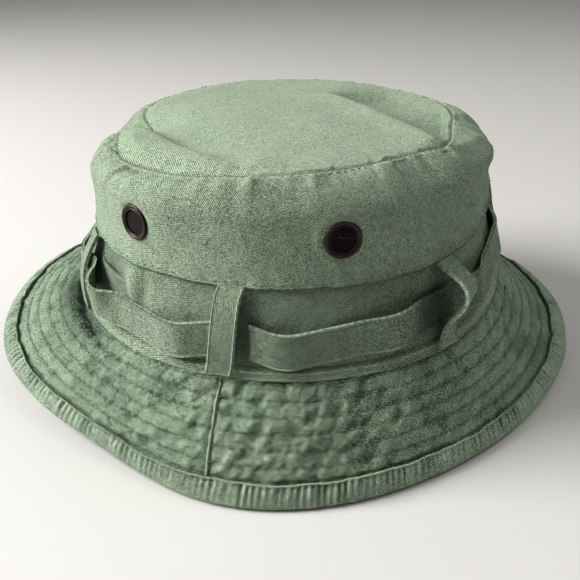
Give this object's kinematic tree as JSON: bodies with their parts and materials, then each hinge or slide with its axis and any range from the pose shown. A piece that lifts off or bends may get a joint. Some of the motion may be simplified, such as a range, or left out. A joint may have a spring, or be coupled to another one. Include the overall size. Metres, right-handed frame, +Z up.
{
  "type": "boonie hat",
  "caption": "Soft brimmed hat of sewn twill: flat round crown, quilted drooping brim with bound edge, foliage band under upright loops, screened vents.",
  "frame": {"origin": "centre of the hat's box on the surface that its brim stands on; the crown's axis stands 4.6 mm towards +X and 2.1 mm towards -Y of it", "axes": "+Z up through the crown, +X towards the front of the hat, -Y towards the hat's left"},
  "size_m": [0.2764, 0.2535, 0.1205],
  "materials": {
    "crown_twill": "washed olive cotton twill, faded on the raised parts",
    "brim_twill": "washed olive cotton twill, quilted and mottled",
    "binding_twill": "washed olive cotton twill, puckered",
    "strap_twill": "folded olive cotton twill with pale worn edges",
    "sweatband_cotton": "plain olive cotton",
    "interlining": "unbleached woven interlining",
    "vent_metal": "dark bronze enamel on brass, satin",
    "vent_mesh": "dark woven wire mesh"
  },
  "bodies": {
    "root": {"brim_binding": "binding_twill", "brim_interlining_back": "interlining", "brim_interlining_front": "interlining", "brim_top_back": "brim_twill", "brim_top_front": "brim_twill", "brim_under_back": "brim_twill", "brim_under_front": "brim_twill", "crown_band_left": "crown_twill", "crown_band_right": "crown_twill", "crown_side_left": "crown_twill", "crown_side_right": "crown_twill", "crown_tip": "crown_twill", "foliage_band": "strap_twill", "sweatband": "sweatband_cotton", "upright_loop_back": "strap_twill", "upright_loop_back_left": "strap_twill", "upright_loop_back_right": "strap_twill", "upright_loop_front": "strap_twill", "upright_loop_front_left": "strap_twill", "upright_loop_front_right": "strap_twill", "upright_loop_left": "strap_twill", "vent_rim_back_left": "vent_metal", "vent_rim_back_right": "vent_metal", "vent_rim_front_left": "vent_metal", "vent_rim_front_right": "vent_metal", "vent_screen_back_left": "vent_mesh", "vent_screen_back_right": "vent_mesh", "vent_screen_front_left": "vent_mesh", "vent_screen_front_right": "vent_mesh", "vent_washer_back_left": "vent_metal", "vent_washer_back_right": "vent_metal", "vent_washer_front_left": "vent_metal", "vent_washer_front_right": "vent_metal"}
  },
  "joints": []
}
